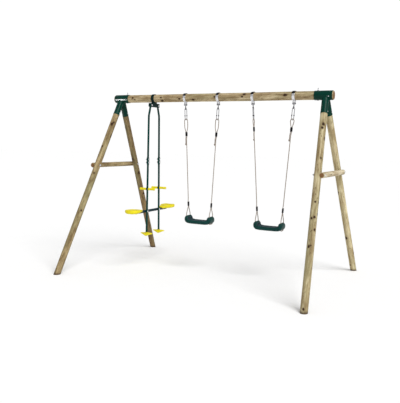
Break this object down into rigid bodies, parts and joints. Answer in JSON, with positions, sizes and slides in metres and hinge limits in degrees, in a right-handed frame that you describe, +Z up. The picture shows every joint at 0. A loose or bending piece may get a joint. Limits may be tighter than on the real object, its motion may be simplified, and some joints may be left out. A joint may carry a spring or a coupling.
{
  "type": "swing set",
  "caption": "Free-standing wooden swing set: a round beam on two A-frames with steel corners, a two-seat glider with rigid arms and two rope swings with moulded seats.",
  "frame": {"origin": "on the ground under the middle of the swing set", "axes": "+Z up, +X along the beam with the glider at -X, -Y towards the front"},
  "size_m": [3.056, 2.2148, 2.1862],
  "materials": {
    "timber": "pressure-treated round pine with knots",
    "green_steel": "dark green powder coat",
    "tube_steel": "dark green gloss powder coat",
    "zinc": "bright zinc plating",
    "yellow_plastic": "blow-moulded, satin",
    "green_plastic": "injection-moulded, satin",
    "black_plastic": "moulded, satin",
    "rope": "twisted polypropylene rope"
  },
  "bodies": {
    "root": {"top_beam": "timber", "corner_bracket_left": "green_steel", "bracket_bolt_left": "zinc", "crossbar_left": "timber", "leg_front_left": "timber", "crossbar_bolt_front_left": "zinc", "leg_back_left": "timber", "crossbar_bolt_back_left": "zinc", "corner_bracket_right": "green_steel", "bracket_bolt_right": "zinc", "crossbar_right": "timber", "leg_front_right": "timber", "crossbar_bolt_front_right": "zinc", "leg_back_right": "timber", "crossbar_bolt_back_right": "zinc", "glider_beam_clamp": "green_steel", "glider_top_pivot_front": "zinc", "glider_top_pivot_rear": "zinc", "swing_1_left_hanger": "zinc", "swing_1_right_hanger": "zinc", "swing_2_left_hanger": "zinc", "swing_2_right_hanger": "zinc"},
    "glider_front_arm": {"glider_upper_tube_front": "tube_steel", "glider_lower_tube_front": "tube_steel", "glider_joint_bolt_front": "zinc", "glider_seat_pivot_front": "zinc", "glider_handlebar_front": "tube_steel", "glider_grip_front_left": "yellow_plastic", "glider_grip_front_right": "yellow_plastic", "glider_footrest_front": "yellow_plastic"},
    "glider_rear_arm": {"glider_upper_tube_rear": "tube_steel", "glider_lower_tube_rear": "tube_steel", "glider_joint_bolt_rear": "zinc", "glider_seat_pivot_rear": "zinc", "glider_handlebar_rear": "tube_steel", "glider_grip_rear_left": "yellow_plastic", "glider_grip_rear_right": "yellow_plastic", "glider_footrest_rear": "yellow_plastic"},
    "glider_seat_bar": {"glider_seat_bar": "tube_steel", "glider_saddle_front": "yellow_plastic", "glider_saddle_rear": "yellow_plastic"},
    "swing_1": {"swing_1_left_link": "zinc", "swing_1_left_rope": "rope", "swing_1_left_upper_clamp": "black_plastic", "swing_1_left_lower_clamp": "black_plastic", "swing_1_right_link": "zinc", "swing_1_right_rope": "rope", "swing_1_right_upper_clamp": "black_plastic", "swing_1_right_lower_clamp": "black_plastic", "swing_1_seat": "green_plastic"},
    "swing_2": {"swing_2_left_link": "zinc", "swing_2_left_rope": "rope", "swing_2_left_upper_clamp": "black_plastic", "swing_2_left_lower_clamp": "black_plastic", "swing_2_right_link": "zinc", "swing_2_right_rope": "rope", "swing_2_right_upper_clamp": "black_plastic", "swing_2_right_lower_clamp": "black_plastic", "swing_2_seat": "green_plastic"}
  },
  "joints": [
    {"name": "glider_swing", "type": "hinge", "parent": "root", "child": "glider_front_arm", "pos_m": [-0.84, -0.08, 2.018], "axis": [1, 0, 0], "range_deg": [-22, 22]},
    {"name": "glider_rear_pivot", "type": "hinge", "parent": "root", "child": "glider_rear_arm", "pos_m": [-0.84, 0.08, 2.018], "axis": [1, 0, 0], "range_deg": [-22, 22]},
    {"name": "glider_seat_pivot", "type": "hinge", "parent": "glider_front_arm", "child": "glider_seat_bar", "pos_m": [-0.84, -0.14114, 0.7], "axis": [1, 0, 0], "range_deg": [-12.54, 12.54]},
    {"name": "swing_1_pivot", "type": "hinge", "parent": "root", "child": "swing_1", "pos_m": [-0.172, 0, 2.022], "axis": [1, 0, 0], "range_deg": [-60, 60]},
    {"name": "swing_2_pivot", "type": "hinge", "parent": "root", "child": "swing_2", "pos_m": [0.731, 0, 2.022], "axis": [1, 0, 0], "range_deg": [-60, 60]}
  ],
  "couplings": [
    {"joint": "glider_rear_pivot", "follows": "glider_swing", "ratio": 1},
    {"joint": "glider_seat_pivot", "follows": "glider_swing", "ratio": -0.5676}
  ]
}
